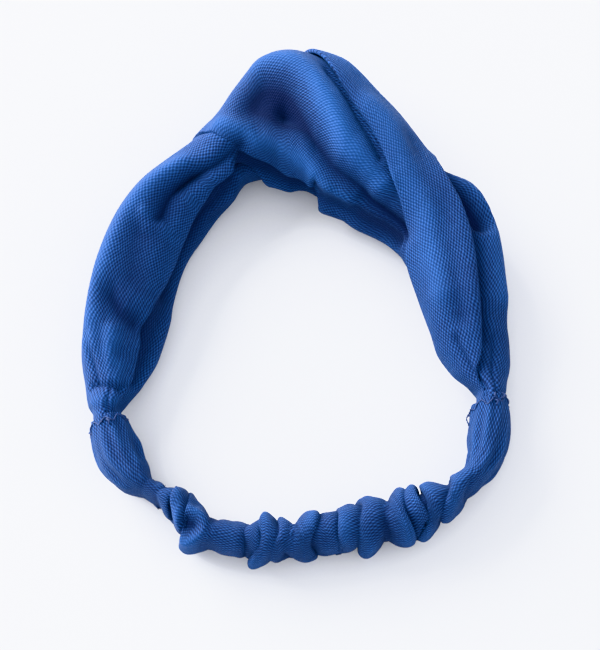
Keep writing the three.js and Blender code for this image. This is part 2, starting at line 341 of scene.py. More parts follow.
rope_width = along(
    (0, END_HALF_WIDTH), (0.012, 7), (0.04, 10.4), (0.09, 13.8), (0.15, 15), (0.25, 14.5),
    (0.33, 13.5), (0.4, 13.5),
    (0.44, 18.5), (0.49, 27), (0.53, 28.5), (0.6, 24.5), (0.68, 20.5), (0.78, 21), (0.86, 17.8),
    (0.93, 14.8), (0.965, 11), (0.988, 7), (1, END_HALF_WIDTH),
)
rope_height = along(
    (0, END_HALF_HEIGHT), (0.18, 17), (0.34, 17), (0.5, 21), (0.72, 18), (0.86, 16.5), (1, END_HALF_HEIGHT)
)
rope_shift = along(
    (0, 0), (0.04, -2.5), (0.1, -3.2), (0.26, -1.5), (0.36, -3), (0.41, -1.2), (0.48, -0.6), (0.52, -2),
    (0.6, -9), (0.67, -9), (0.76, -1), (0.9, -2.5), (0.97, -2.5), (1, 0),
)
rope_lean = along(
    (0, 0), (0.08, 0.34), (0.28, 0.34), (0.38, 0.06), (0.48, 0.3), (0.6, 0.2), (0.8, 0.08), (1, 0)
)
rope_lift = along(
    (0, END_HEIGHT - END_HALF_HEIGHT), (0.1, 0.4), (0.9, 0.4), (1, END_HEIGHT - END_HALF_HEIGHT)
)
wrap_line = along(
    (0, -80), (0.15, -60), (0.25, -40), (0.33, -25), (0.372, -5), (0.39, 60), (0.412, 118), (0.44, 140),
    (0.48, 155), (0.53, 156), (0.57, 170), (0.61, 215), (0.645, 290), (0.68, 385), (0.7, 420),
    (0.75, 446), (0.84, 453), (0.91, 460), (0.97, 475), (1, 485),
)
cover_line = along(
    (0, 152), (0.05, 128), (0.1, 126), (0.14, 134), (0.18, 148), (0.22, 154), (0.27, 148), (0.32, 134),
    (0.35, 122), (0.385, 126), (0.41, 145), (0.44, 195), (0.49, 295), (0.526, 378), (0.545, 400),
    (0.565, 411), (0.6, 421), (0.646, 433), (0.698, 451), (0.757, 482), (0.8, 502), (0.84, 512),
    (0.9, 528), (1, 540),
)
cover_lap = along((-0.02, 0), (0.06, 1), (0.94, 1), (1.02, 0))
wrap_lap = along((0.22, 0), (0.33, 1), (0.58, 1), (0.64, 0), (0.68, -1), (0.94, -1), (1.02, 0))
cloth_thickness = along(
    (0, PLEAT_THICKNESS), (0.1, STRIP_THICKNESS), (0.9, STRIP_THICKNESS), (1, PLEAT_THICKNESS)
)
PART_ANGLE = 4
LAP_ANGLE = 16
print("the strips overlap by", 2 * LAP_ANGLE, "degrees at their laps")

# %% [markdown]
# ## Hollows and folds
# The cloth is soft, so it dimples where it is pulled and ridges where it is pushed together.
# A sculptor would draw these with a brush. Each stroke below is such a brush line: how wide it is,
# how far it lifts the cloth (less than 0 presses it in), and the path it takes on the rope,
# as shares of the front and degrees round the section: 0 is outwards, 90 up, 180 to the head.

# %% Brush strokes on the cloth
FOLDS = [
    # the left leg: an outer ridge, the shadow line beside it, and two dimples
    (5, 1.8, [(0.08, 62), (0.2, 70), (0.33, 82)]),
    (3.4, -3, [(0.41, 124), (0.35, 112), (0.315, 112)]),
    (5, -4.6, [(0.33, 108), (0.29, 112), (0.262, 121)]),
    (3, 1.6, [(0.252, 98), (0.243, 112), (0.25, 128)]),
    (9, -2.6, [(0.22, 104), (0.17, 114)]),
    (5.5, -4, [(0.135, 84), (0.118, 108), (0.112, 132)]),
    (4, 1.8, [(0.095, 100), (0.05, 106), (0.03, 104)]),
    (1.8, -1.6, [(0.028, 50), (0.022, 130)]),
    (2.6, 1, [(0.007, 50), (0.005, 130)]),
    (2.6, -1, [(0.09, 60), (0.06, 66), (0.035, 70)]),
    (2.6, -1, [(0.07, 112), (0.04, 104), (0, 100)]),
    # the top of the twist: a deep hollow between two ridges
    (10, -6.5, [(0.462, 90), (0.482, 104)]),
    (4, -4.4, [(0.49, 112), (0.54, 130), (0.62, 137), (0.7, 143), (0.76, 148)]),
    (3.6, 2.6, [(0.4, 76), (0.435, 130), (0.5, 150), (0.57, 156), (0.65, 156)]),
    (5, 3.4, [(0.47, 58), (0.5, 70), (0.54, 94), (0.6, 110), (0.68, 118)]),
    (2, -1.8, [(0.54, 66), (0.57, 74), (0.61, 86), (0.65, 98)]),
    # the right leg: long soft folds
    (6, 2.4, [(0.74, 20), (0.8, 30), (0.88, 34)]),
    (3, -1.6, [(0.79, 62), (0.86, 70), (0.93, 78)]),
    (6, 1.8, [(0.6, 62), (0.68, 78), (0.76, 108), (0.86, 122)]),
    (5, -1.6, [(0.66, 50), (0.72, 84), (0.8, 104), (0.9, 108)]),
    (2.6, -1.1, [(0.93, 62), (0.96, 66), (1, 70)]),
    (2.6, -1.1, [(0.93, 122), (0.96, 116), (1, 110)]),
    # the outer and lower faces
    (6, -2, [(0.42, 20), (0.46, 4), (0.5, -20)]),
    (6, 2, [(0.56, 30), (0.6, 8), (0.66, -10)]),
    (7, -2.4, [(0.1, 10), (0.16, 18), (0.24, 10)]),
    (6, -2, [(0.8, -8), (0.87, -2), (0.93, 4)]),
    (6, -2.2, [(0.18, 196), (0.25, 204), (0.33, 198)]),
    (6, -2.2, [(0.78, 204), (0.84, 198), (0.9, 196)]),
]
# These press one layer only: their angles count on past 360, as the strip winds. Their sides are crisp.
PRESSED = [
    (6, -3.2, [(0.05, 166), (0.1, 164), (0.14, 172), (0.18, 186), (0.22, 192), (0.27, 186),
               (0.32, 172), (0.37, 162)]),
    (6.5, -4.2, [(0.405, 150), (0.43, 160), (0.47, 184), (0.5, 196), (0.54, 200), (0.58, 208)]),
    (5.5, -3.6, [(0.56, 532), (0.62, 532), (0.69, 535), (0.75, 536)]),
    (5.5, -6, [(0.7, 768), (0.74, 772), (0.785, 762)]),
]
print(len(FOLDS), "folds and", len(PRESSED), "pressed hollows")

# %% [markdown]
# A stroke lifts the cloth most on its own line and fades out to both sides. Sculpt mode could do
# this by hand, but a stroke in code can be moved or left out by itself, and is the same each run.

# %% How a stroke lifts the cloth
MM_PER_DEGREE = 0.33
SOFT_SIDES = 2
CRISP_SIDES = 5


def stroke_height(strokes, share, angle, crispness, one_turn):
    """How far brush strokes lift the cloth, at shares of the front and angles in degrees."""
    total = np.zeros(np.broadcast(share, angle).shape)
    for width, rise, path in strokes:
        nearest = np.full(total.shape, np.inf)
        for (share_0, angle_0), (share_1, angle_1) in zip(path, path[1:]):
            x, y = (share - share_0) * FRONT_LENGTH, angle - angle_0
            if one_turn:
                y = np.mod(y + 180, 360) - 180
            step = np.array([(share_1 - share_0) * FRONT_LENGTH, (angle_1 - angle_0) * MM_PER_DEGREE])
            y = y * MM_PER_DEGREE
            t = np.clip((x * step[0] + y * step[1]) / (step @ step), 0, 1)
            nearest = np.minimum(nearest, np.hypot(x - t * step[0], y - t * step[1]))
        total += rise * np.exp(-((nearest / width) ** crispness))
    return total


def fold_height(share, angle):
    both_layers = stroke_height(FOLDS, share, angle, SOFT_SIDES, True)
    return both_layers + stroke_height(PRESSED, share, angle, CRISP_SIDES, False)


sampled = fold_height(np.linspace(0, 1, 101)[:, None], np.linspace(0, 720, 181))
print(f"the folds lift the cloth by {sampled.min():.1f} to {sampled.max():.1f} mm")

# %% [markdown]
# Now a strip's cloth can be laid on the rope, from one of its two edges to the other. Where it
# goes under the other strip, it reaches a little further and is tucked in by a layer and a gap.

# %% A strip's cloth on the rope
# Where a strip is tucked under the other, TUCK_SHADE lowers its relief, which paints shade under the lap.
TUCK_SHADE = 0.5


def lap_reach(lap):
    return -PART_ANGLE + (LAP_ANGLE + PART_ANGLE) * smooth(0.3, 1, np.abs(lap))


def rope_sheet(strip, distance, across):
    """The middle of a strip's cloth, a grid of points [distance, across], and its relief for painted shade.
    """
    share = (distance / FRONT_LENGTH)[:, None]
    wrap, cover = wrap_line(share), cover_line(share)
    wrap_over, cover_over = wrap_lap(share), cover_lap(share)
    if strip == "a":
        start, stop = wrap - lap_reach(wrap_over), cover + lap_reach(cover_over)
        low_tuck, high_tuck = np.maximum(wrap_over, 0), 0
    else:
        start, stop = cover - lap_reach(cover_over), wrap + 360 + lap_reach(wrap_over)
        low_tuck, high_tuck = cover_over, np.maximum(-wrap_over, 0)
    angle = np.radians(start + (stop - start) * across)
    tucked = low_tuck * smooth(0.5, 0, across) + high_tuck * smooth(0.5, 1, across)
    tuck = tucked * (STRIP_THICKNESS + LAP_GAP)
    wide, high = rope_width(share), rope_height(share)
    normal = np.stack([high * np.cos(angle), wide * np.sin(angle)])
    normal /= np.linalg.norm(normal, axis=0)
    folds = fold_height(share, np.degrees(angle))
    out, up = np.stack([wide * np.cos(angle), high * np.sin(angle)]) + normal * (folds - tuck)
    height = high + rope_lift(share) + up
    floor = cloth_thickness(share) / 2
    outwards = out + rope_lean(share) * up + rope_shift(share)
    points = beside(distance[:, None], outwards, np.maximum(height, floor), LOOK_FRONT)
    return points, folds - tuck * TUCK_SHADE


for strip in "ab":
    crossing, _ = rope_sheet(strip, np.array([FRONT_LENGTH / 2]), np.linspace(0, 1, 60))
    width = np.linalg.norm(np.diff(crossing[0], axis=0), axis=1).sum()
    print(f"strip {strip} has {width:.0f} mm of cloth across at the crossing")

# %% [markdown]
# ## The two strips
# Each strip is one long grid of points, pressed into a flat tube. The weave must keep its size
# where the strip spreads out or is pleated, so each point's place on the cloth is measured on
# the finished shape: along the middle of the strip, and out to both sides from there.

# %% The strips
STRIP_ROWS = 420
STRIP_COLUMNS = 84


def measured_places(sheet):
    """Each point's place on the cloth in mm: along the middle column, and across from it."""
    middle = sheet.shape[1] // 2
    wide_steps = np.linalg.norm(np.diff(sheet, axis=1), axis=2)
    across = np.concatenate([np.zeros((len(sheet), 1)), np.cumsum(wide_steps, axis=1)], 1)
    across -= across[:, middle : middle + 1]
    ahead = np.diff(sheet[:, middle], axis=0)
    sideways = sheet[1:, middle + 1] - sheet[1:, middle - 1]
    sideways /= np.linalg.norm(sideways, axis=1, keepdims=True)
    slide = np.sum(ahead * sideways, axis=1)
    length = np.sqrt(np.maximum(np.sum(ahead**2, axis=1) - slide**2, 0))
    length, slide = (np.concatenate([[0], np.cumsum(steps)])[:, None] for steps in (length, slide))
    return np.stack(np.broadcast_arrays(length, across + slide), -1).astype(float)


def make_strip(strip):
    distance = np.linspace(-INSERT, FRONT_LENGTH + INSERT, STRIP_ROWS)
    sheet, shade_relief = rope_sheet(strip, distance, np.linspace(0, 1, STRIP_COLUMNS))
    thickness = cloth_thickness(distance / FRONT_LENGTH)
    return flat_tube(f"strip_{strip}", sheet, thickness, measured_places(sheet), shade_relief)


strips = {strip: make_strip(strip) for strip in "ab"}

# %% [markdown]
# ## The gathered casing
# The casing is a tube of the same jersey, about one and a half times as long as its elastic.
# Let go, the elastic pulls it into ruffles. Each ruffle here is a rounded ring of cloth with its
# own width, height and slant, chosen one by one because real gathers never repeat.
# Where two rings meet they leave the sharp valley that bunched cloth has.

# %% The casing's outline
CASING_MIDDLE = 12.9
casing_width = along(
    (0, 6.7), (6, 7.6), (18, 8), (26, 6.4), (32, 5), (38, 6.2), (46, 8), (52, 9), (66, 10.6),
    (78, 10.6), (87, 9.2), (95, 8.8), (104, 8.8), (116, 9.2), (124, 8), (131, 7.6), (142, 9),
    (153, 7), (161, 5.6), (167, 5), (174, 7), (186, 9), (198, 8), (203, 6.8), (206, 6.6),
)
casing_height = along(
    (0, 12.6), (18, 12.8), (33, 12.2), (45, 13), (150, 13), (165, 12.2), (186, 12.8), (206, 12.6)
)
casing_shift = along(
    (0, 0), (16, 0.6), (33, 2.6), (60, 1.8), (90, 0.8), (113, 0), (130, 1.6), (143, 2.8), (152, -1.6),
    (165, -1.6), (187, -3), (206, -0.4),
)
print("the casing is", 2 * casing_height(BACK_LENGTH / 2).round(1), "mm high in the middle")

# %% [markdown]
# Each entry below is one ruffle: its place at the inner and at the outer side of the casing,
# counted in mm from the right joint, half its length, and how far it rises. A noise texture could
# give ruffles too, but they would be alike, and none could be moved by itself.

# %% The ruffles
RUFFLES = [
    (35, 46, 5.2, 4.4), (47, 55, 4.6, 4.9), (58, 61.5, 3.2, 4.4), (64.5, 67.5, 3.6, 5.1),
    (73.5, 77.5, 4.8, 5.4), (82.5, 86.5, 4.4, 4.6), (92, 95, 5, 3.3), (100, 105, 4.8, 4.6),
    (108, 111.5, 2.8, 3.3), (114, 117, 3.6, 5.1), (121, 121.5, 3.2, 4.1), (131, 130, 6.6, 3.1),
    (146, 140, 5.4, 5.4), (153, 150, 3.6, 4.4), (158.5, 158, 3, 3.6), (164, 163.5, 2.4, 2.0),
]
FLOP = 0.55


def ruffle_lift(distance, angle):
    """How far the gathered cloth stands off the valleys, and how far it leans over them."""
    lift, lean = np.zeros(distance.shape), np.zeros(distance.shape)
    for number, (inner, outer, half_length, rise) in enumerate(RUFFLES):
        sway = 0.9 * np.sin(2 * angle + 1.7 * number) + 0.5 * np.sin(3 * angle + 0.8 * number)
        middle = (inner + outer) / 2 + (outer - inner) / 2 * np.cos(angle) + sway
        fade = 0.8 + 0.2 * np.sin(angle * (1 + number % 2) + 2.3 * number)
        across = (distance - middle) / half_length
        height = rise * fade * np.sqrt(np.clip(1 - across**2, 0, 1))
        lean = np.where(height > lift, (-1) ** (number // 2) * FLOP * height, lean)
        lift = np.maximum(lift, height)
    return lift, lean


print(len(RUFFLES), "ruffles on", round(BACK_LENGTH), "mm of casing")

# %% [markdown]
# The two smooth ends aren't gathered: they are drawn tight over the pleated strips, so they get
# long, shallow tension folds that fan out from the mouth and from the neck instead of ruffles.
# One ruffle has flopped open like a little cup, which is a round dent with a raised rim.
# Both mouths are cut at a slant, so more of the pleated strips is seen on one side of them.

# %% The casing's surface
CASING_LEAST_WIDTH = 3.6
CASING_LEAST_HEIGHT = 11
CASING_FLOOR_GAP = 0.05
SMOOTH_END = 30
RUFFLE_DEPTH = 3.4
UPRIGHT_SHARE = 0.75
NECK_FOLDS, NECK_FOLD_RISE, NECK_FOLD_SLANT = 7, 0.5, 0.14
END_FOLDS, END_FOLD_RISE, END_FOLD_SLANT = 11, 0.35, 0.1
WRINKLE_RISE = 0.22
CUP_PLACE = 142.5
CUP_ANGLE = 1.25
MM_PER_RADIAN = 8
CUP_RADIUS = 5.2
CUP_RIM, CUP_RIM_SPREAD = 2, 3.5
CUP_DEPTH, CUP_SPREAD = 4.8, 9
MOUTH_LENGTH = 25
LEFT_CUT = 4
LEFT_SLANT = 1.6
RIGHT_CUT = 4.5


def casing_loops(distance, angle, off=0.0):
    """Points of the casing's outer face, off mm away from it, at distances from the right joint."""
    distance, angle = np.broadcast_arrays(distance[:, None], angle[None, :])
    left_cut = LEFT_CUT + LEFT_SLANT * np.cos(angle)
    right_cut = RIGHT_CUT * np.sin(angle / 2) ** 2
    distance = distance - left_cut * smooth(BACK_LENGTH - MOUTH_LENGTH, BACK_LENGTH, distance)
    distance = distance + right_cut * smooth(MOUTH_LENGTH, 0, distance)
    from_end = np.minimum(distance, BACK_LENGTH - distance)
    gathered = smooth(SMOOTH_END - 3, SMOOTH_END + 5, from_end)
    lift, lean = ruffle_lift(distance, angle)
    ruffled = smooth(SMOOTH_END, SMOOTH_END + 16, from_end)
    lift = (lift - RUFFLE_DEPTH) * ruffled
    tension = smooth(0, 3, from_end) * (1 - gathered)
    neck_folds = np.sin(NECK_FOLDS * angle + NECK_FOLD_SLANT * distance)
    lift += tension * NECK_FOLD_RISE * neck_folds * smooth(2, 22, from_end)
    lift += tension * END_FOLD_RISE * np.sin(END_FOLDS * angle - END_FOLD_SLANT * distance + 2)
    wrinkles = np.sin(0.9 * distance + 3 * np.sin(2 * angle))
    lift += WRINKLE_RISE * gathered * wrinkles * np.sin(5 * angle)
    to_cup = np.hypot(distance - CUP_PLACE, (angle - CUP_ANGLE) * MM_PER_RADIAN)
    lift += CUP_RIM * np.exp(-((to_cup - CUP_RADIUS) ** 2) / CUP_RIM_SPREAD)
    lift -= CUP_DEPTH * np.exp(-(to_cup**2) / CUP_SPREAD)
    wide = np.maximum(casing_width(distance) + lift, CASING_LEAST_WIDTH) + off
    high = np.maximum(casing_height(distance) + UPRIGHT_SHARE * lift, CASING_LEAST_HEIGHT) + off
    upright = CASING_MIDDLE + high * np.sin(angle)
    place = FRONT_LENGTH + distance + lean * ruffled
    across = casing_shift(distance) + wide * np.cos(angle)
    return beside(place, across, np.maximum(upright, CASING_FLOOR_GAP - off)), lift


mouth, _ = casing_loops(np.array([0.0]), np.linspace(0, 2 * math.pi, 60))
print("the right mouth reaches", mouth[..., 2].max().round(1), "mm up")

# %% [markdown]
# The casing's surface is now worked out on a fine grid and given its wall. The print says how
# much cloth is gathered on the line that it follows.

# %% The casing
CASING_WALL = 0.9
CASING_ROWS = 760
CASING_COLUMNS = 96


def make_casing():
    distance = np.linspace(0, BACK_LENGTH, CASING_ROWS)
    angle = np.linspace(0, 2 * math.pi, CASING_COLUMNS, endpoint=False)
    points, lift = casing_loops(distance, angle)
    places = measured_places(np.concatenate([points, points[:, :1]], 1))[:, :-1]
    print(f"casing: the cloth is {places[..., 0].max():.0f} mm long on a {BACK_LENGTH:.0f} mm line")
    # The lift becomes painted shade in the valleys and the cup, and a painted highlight on ruffle tops.
    return hollow_tube("casing", points, CASING_WALL, places, lift)


casing = make_casing()

# %% [markdown]
# ## The elastic inside
# A woven elastic band, as wide as a finger, stands on its edge inside the casing. Nobody sees
# it, but it is what makes the headband work, so it follows the same line and stretches with it.
# A bevelled curve could draw it, but the same flattened tube as the strips gives it a weave too.

# %% The elastic band
ELASTIC_WIDTH = 18
ELASTIC_THICKNESS = 1.2
ELASTIC_INSET = 1
ELASTIC_ROWS = 160
ELASTIC_COLUMNS = 10


def make_elastic():
    distance = np.linspace(ELASTIC_INSET, BACK_LENGTH - ELASTIC_INSET, ELASTIC_ROWS)[:, None]
    height = CASING_MIDDLE + np.linspace(-0.5, 0.5, ELASTIC_COLUMNS) * ELASTIC_WIDTH
    sheet = beside(FRONT_LENGTH + distance, casing_shift(distance), height[None, :])
    return flat_tube("elastic", sheet, np.full(ELASTIC_ROWS, ELASTIC_THICKNESS), measured_places(sheet))


elastic = make_elastic()

# %% [markdown]
# ## Sewing thread
# Sewing thread is two thin strands twisted together. A round curve with a striped bump could
# stand for it, but real strands catch the light on their own. So each strand is a small tube
# wound round the thread's path. A stitch rises over the cloth and dives through it at both ends,
# so the path itself is a row of low arches.

# %% Twisted thread
THREAD_RADIUS = 0.34
STRAND_RADIUS = THREAD_RADIUS * 0.62
TWIST_PITCH = 2.2
THREAD_SIDES = 6
THREAD_STEP = 0.35
ALMOST_UP = (0.31, 0.17, 0.94)


def resampled(path, step):
    """The same path with even steps."""
    path = np.asarray(path, float)
    gone = np.concatenate([[0], np.cumsum(np.linalg.norm(np.diff(path, axis=0), axis=1))])
    places = np.linspace(0, gone[-1], max(4, round(gone[-1] / step)))
    return np.stack([np.interp(places, gone, path[:, axis]) for axis in range(3)], 1), places


def twisted_thread(name, paths):
    """Two strands wound round each path, a list of points in mm."""
    points, faces, cloth = [], [], []
    for path in paths:
        path, gone = resampled(path, THREAD_STEP)
        forward = np.gradient(path, axis=0)
        forward /= np.linalg.norm(forward, axis=1, keepdims=True)
        side = np.cross(forward, ALMOST_UP)
        side /= np.linalg.norm(side, axis=1, keepdims=True)
        upward = np.cross(side, forward)
        round_angle = np.linspace(0, 2 * math.pi, THREAD_SIDES, endpoint=False)
        for strand in (0, math.pi):
            wind = 2 * math.pi * gone / TWIST_PITCH + strand
            away = np.cos(wind)[:, None] * side + np.sin(wind)[:, None] * upward
            centre = path + THREAD_RADIUS / 2 * away
            turn = round_angle[None, :, None]
            tube = centre[:, None] + STRAND_RADIUS * (
                np.cos(turn) * side[:, None] + np.sin(turn) * upward[:, None]
            )
            start, rows = len(points), len(path)
            points.extend(tube.reshape(-1, 3))
            places = np.broadcast_arrays(gone[:, None], round_angle * THREAD_RADIUS)
            cloth.extend(np.stack(places, -1).reshape(-1, 2))
            faces.extend((loop_faces(rows, THREAD_SIDES) + start).tolist())
            faces.append([start + i for i in range(THREAD_SIDES)])
            faces.append([start + (rows - 1) * THREAD_SIDES + i for i in range(THREAD_SIDES)])
    return add_mesh(name, np.array(points), faces, np.array(cloth))


def arch(count, samples):
    """Per sample: 0 where the thread dives, 1 on top of each stitch."""
    return np.abs(np.sin(np.linspace(0, math.pi * count, samples))) ** 0.6


print("a strand of thread is", round(2 * STRAND_RADIUS, 2), "mm thick")

# %% [markdown]
# ## The stitching
# Each mouth of the casing is closed over the strips with a zigzag. It isn't a neat one: at the
# right joint the thread ends were left hanging. The stitches could be copies of one stitch along
# a curve, but here the thread is one path on the casing's own surface, so it follows each fold.

# %% Paths on the casing
STITCH_SETBACK = 2.2
STITCH_SWING = 1.3
STITCH_COUNT = 17
STITCH_POINTS = 14
STITCH_BITE = 0.7
STITCH_LIFT = 0.35
LOOSE_POINTS = 24


def on_casing(side, inward, angle, off):
    """Points off mm above the cloth, inward mm from the mouth at one side."""
    distance = inward if side == "right" else BACK_LENGTH - inward
    places = zip(distance, angle, off)
    return np.stack([casing_loops(d[None], a[None], h)[0][0, 0] for d, a, h in places])


def joint_zigzag(side):
    samples = STITCH_COUNT * STITCH_POINTS
    angle = np.linspace(0, 2 * math.pi, samples)
    swing = np.interp(np.linspace(0, STITCH_COUNT, samples) % 2, (0, 1, 2), (-1, 1, -1)) * STITCH_SWING
    raggedness = 0.35 * np.sin(5 * angle) + 0.25 * np.sin(11 * angle + 1)
    off = STITCH_LIFT - STITCH_BITE * (1 - arch(STITCH_COUNT, samples))
    return on_casing(side, STITCH_SETBACK + swing + raggedness, angle, off)


def loose_end(side, angle, reach, curl):
    """A thread end that comes out of the stitching and lies on the cloth."""
    t = np.linspace(0, 1, LOOSE_POINTS)
    turned = angle + curl * np.sin(2.5 * t)
    off = 0.1 + 1.1 * np.sin(math.pi * t) ** 2 + 0.3 * t
    return on_casing(side, STITCH_SETBACK + reach * t, turned, off)


print("the zigzag at each joint has", STITCH_COUNT, "stitches")

# %% [markdown]
# The loose ends are listed for each joint: the angle where one comes out of the stitching, how
# far it reaches along the casing (less than 0 goes out over the strips), and how much it curls.

# %% The stitched joints
LOOSE_ENDS = {
    "left": [(1.5, 3, 0.12)],
    "right": [(1.35, -2.6, 0.14), (1.15, -2.2, -0.2), (1.5, 2.4, -0.16), (2.9, 9, 0.1)],
}
joints = {
    side: twisted_thread(
        f"joint_stitches_{side}", [joint_zigzag(side)] + [loose_end(side, *end) for end in ends]
    )
    for side, ends in LOOSE_ENDS.items()
}

# %% [markdown]
# ## The inside seams
# Each strip is a tube that was sewn inside out and turned, so its seam runs along its hidden face.
# The casing's seam runs along its inside too. They are never seen, but a turned tube has one.
# They lie where they don't scratch, so they are plain running stitches. A bump in the material
# could draw them, but then taking the headband apart would show no thread.

# %% The inside seams
STRIP_SEAM_INSET = 2
STRIP_SEAM_POINTS = 900
STITCH_STEPS = 10
CORE_HEIGHT = 20
CASING_SEAM_INSET = 12
CASING_SEAM_POINTS = 700
CASING_SEAM_STITCHES = 48


def strip_seam(strip):
    """A running stitch on the strip's hidden face, along its middle."""
    distance = np.linspace(STRIP_SEAM_INSET, FRONT_LENGTH - STRIP_SEAM_INSET, STRIP_SEAM_POINTS)
    band = np.linspace(0.42, 0.58, 9)
    middle = len(band) // 2
    sheet, _ = rope_sheet(strip, distance, band)
    normal = grid_normals(sheet)[:, middle]
    line = on_ring(distance)
    inside = np.concatenate([line, np.full((len(line), 1), CORE_HEIGHT)], 1) - sheet[:, middle]
    normal *= np.sign(np.sum(normal * inside, 1, keepdims=True))
    half = cloth_thickness(distance / FRONT_LENGTH)[:, None] / 2
    dive = (STITCH_BITE * (1 - arch(len(distance) // STITCH_STEPS, len(distance))))[:, None]
    return sheet[:, middle] + normal * (half + THREAD_RADIUS - dive)


def casing_seam():
    distance = np.linspace(CASING_SEAM_INSET, BACK_LENGTH - CASING_SEAM_INSET, CASING_SEAM_POINTS)
    off = -ELASTIC_THICKNESS / 2 - 0.5 + 0.3 * arch(CASING_SEAM_STITCHES, len(distance))
    return beside(FRONT_LENGTH + distance, casing_shift(distance) + off, CASING_MIDDLE)


seams = {strip: twisted_thread(f"seam_stitches_{strip}", [strip_seam(strip)]) for strip in "ab"}
seam_in_casing = twisted_thread("seam_stitches_casing", [casing_seam()])

# %% [markdown]
# ## Shader maths that reads like maths
# A procedural material is a small program of nodes. Wiring each Math node by hand is hard to
# read, so a Value stands for a socket and its operators add the nodes: 1 - mask is one node.

# %% Values
class Value:
    """A number at every point of a surface."""

    def __init__(self, shader, socket):
        self.shader = shader
        self.socket = socket

    def maths(self, operation, *inputs):
        return self.shader.node("ShaderNodeMath", {"operation": operation}, dict(enumerate(inputs)))

    def __add__(self, other):
        return self.maths("ADD", self, other)

    __radd__ = __add__

    def __sub__(self, other):
        return self.maths("SUBTRACT", self, other)

    def __rsub__(self, other):
        return self.maths("SUBTRACT", other, self)

    def __mul__(self, other):
        return self.maths("MULTIPLY", self, other)

    __rmul__ = __mul__

    def __pow__(self, power):
        return self.maths("POWER", self, power)

    def sine(self):
        return self.maths("SINE", self)

    def cosine(self):
        return self.maths("COSINE", self)

    def limited(self):
        return self.shader.node("ShaderNodeClamp", {}, {"Value": self})


# %% [markdown]
# A Shader is one material.

# %% Shaders
class Shader:
    """A material whose nodes are written as Python."""

    def __init__(self, name):
        self.material = bpy.data.materials.new(name)
        self.material.use_nodes = True
        self.tree = self.material.node_tree
        self.surface = self.tree.nodes["Principled BSDF"]

    def node(self, kind, settings, inputs, output=0):
        """A node of any type: its settings first, then the values or links of its sockets."""
        node = self.tree.nodes.new(kind)
        for setting, value in settings.items():
            setattr(node, setting, value)
        for socket, value in inputs.items():
            self.feed(node.inputs[socket], value)
        return Value(self, node.outputs[output])

    def feed(self, socket, value):
        if isinstance(value, Value):
            self.tree.links.new(value.socket, socket)
        else:
            socket.default_value = value

    def coordinates(self, attribute):
        """The x and y of a place stored on the mesh, in mm."""
        place = self.node("ShaderNodeAttribute", {"attribute_name": attribute}, {}, "Vector")
        x = self.node("ShaderNodeSeparateXYZ", {}, {0: place}, "X")
        return place, x, Value(self, x.socket.node.outputs["Y"])

    def noise(self, vector, scale, detail=2, rough=0.5):
        inputs = {"Vector": vector, "Scale": scale, "Detail": detail, "Roughness": rough}
        return self.node("ShaderNodeTexNoise", {}, inputs)

    def mix(self, factor, first, second):
        settings = {"data_type": "RGBA", "blend_type": "MIX"}
        return self.node("ShaderNodeMix", settings, {0: factor, 6: first, 7: second}, 2)

    def bump(self, height, strength, distance):
        inputs = {"Height": height, "Strength": strength, "Distance": distance}
        return self.node("ShaderNodeBump", {}, inputs)

    def finish(self, **inputs):
        """Sets the surface's own sockets, named with _ for each space."""
        for name, value in inputs.items():
            self.feed(self.surface.inputs[name.replace("_", " ")], value)
        return self.material


# %% [markdown]
# ## Bird's-eye jersey
# The cloth is a sports knit with rows of small oval eyes, each row shifted by half an eye.
# The product of two cosine waves makes such a lattice. The eyes stand up and catch the light, and
# the gaps between them are deep navy. The yarn is fuzzy polyester, so the cloth is matt, with a
# soft sheen that makes its edges lighter. The fold relief paints shade: hollows are painted darker,
# and ridges get a painted highlight in the lighter colour of rubbed yarn.

# %% The jersey
TURN = 2 * math.pi
EYE_LENGTH = 2.2
EYE_WIDTH = 1.25
YARN_TOP = (0.0235, 0.064, 0.208, 1)
YARN_GAP = (0.0078, 0.0135, 0.044, 1)
# A lighter yarn colour for rubbed patches, also used as a painted highlight on fold ridges.
YARN_RUBBED_AND_RIDGE_HIGHLIGHT = (0.036, 0.13, 0.4, 1)
# Painted shade for fold hollows.
HOLLOW_PAINTED_SHADE = (0.006, 0.012, 0.048, 1)


